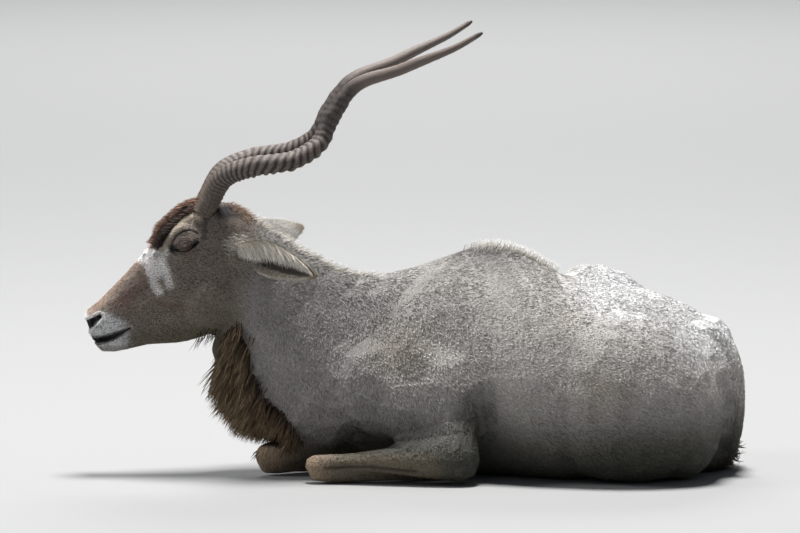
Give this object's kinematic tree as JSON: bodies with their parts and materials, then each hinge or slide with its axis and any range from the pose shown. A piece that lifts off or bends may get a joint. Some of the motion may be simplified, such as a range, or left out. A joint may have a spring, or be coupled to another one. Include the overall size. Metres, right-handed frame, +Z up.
{
  "type": "addax antelope",
  "caption": "Life-size addax antelope lying on its chest, legs folded, head raised, with long ringed spiral horns, a throat mane, a forelock and a tufted tail.",
  "frame": {"origin": "on the floor, under the middle of the whole animal's bounding box", "axes": "+X runs from the nose to the rump, +Y to the animal's right side, +Z up"},
  "size_m": [1.3264, 0.5902, 0.9016],
  "materials": {
    "coat": "short dense hair, pale beige to white",
    "face_coat": "short hair, grey brown with white marks",
    "horn": "dull ringed horn",
    "hoof": "dull dark horn",
    "eye": "wet"
  },
  "bodies": {
    "root": {"torso": "coat", "neck": "coat", "head": "face_coat", "foreleg_left": "coat", "foreleg_right": "coat", "hindleg_left": "coat", "hindleg_right": "coat", "tail": "coat", "ear_left": "face_coat", "ear_right": "face_coat", "eye_left": "eye", "eye_right": "eye", "horn_left": "horn", "horn_right": "horn", "forehoof_left_inner": "hoof", "forehoof_left_outer": "hoof", "forehoof_right_inner": "hoof", "forehoof_right_outer": "hoof", "hindhoof_left_inner": "hoof", "hindhoof_left_outer": "hoof", "hindhoof_right_inner": "hoof", "hindhoof_right_outer": "hoof"}
  },
  "joints": []
}
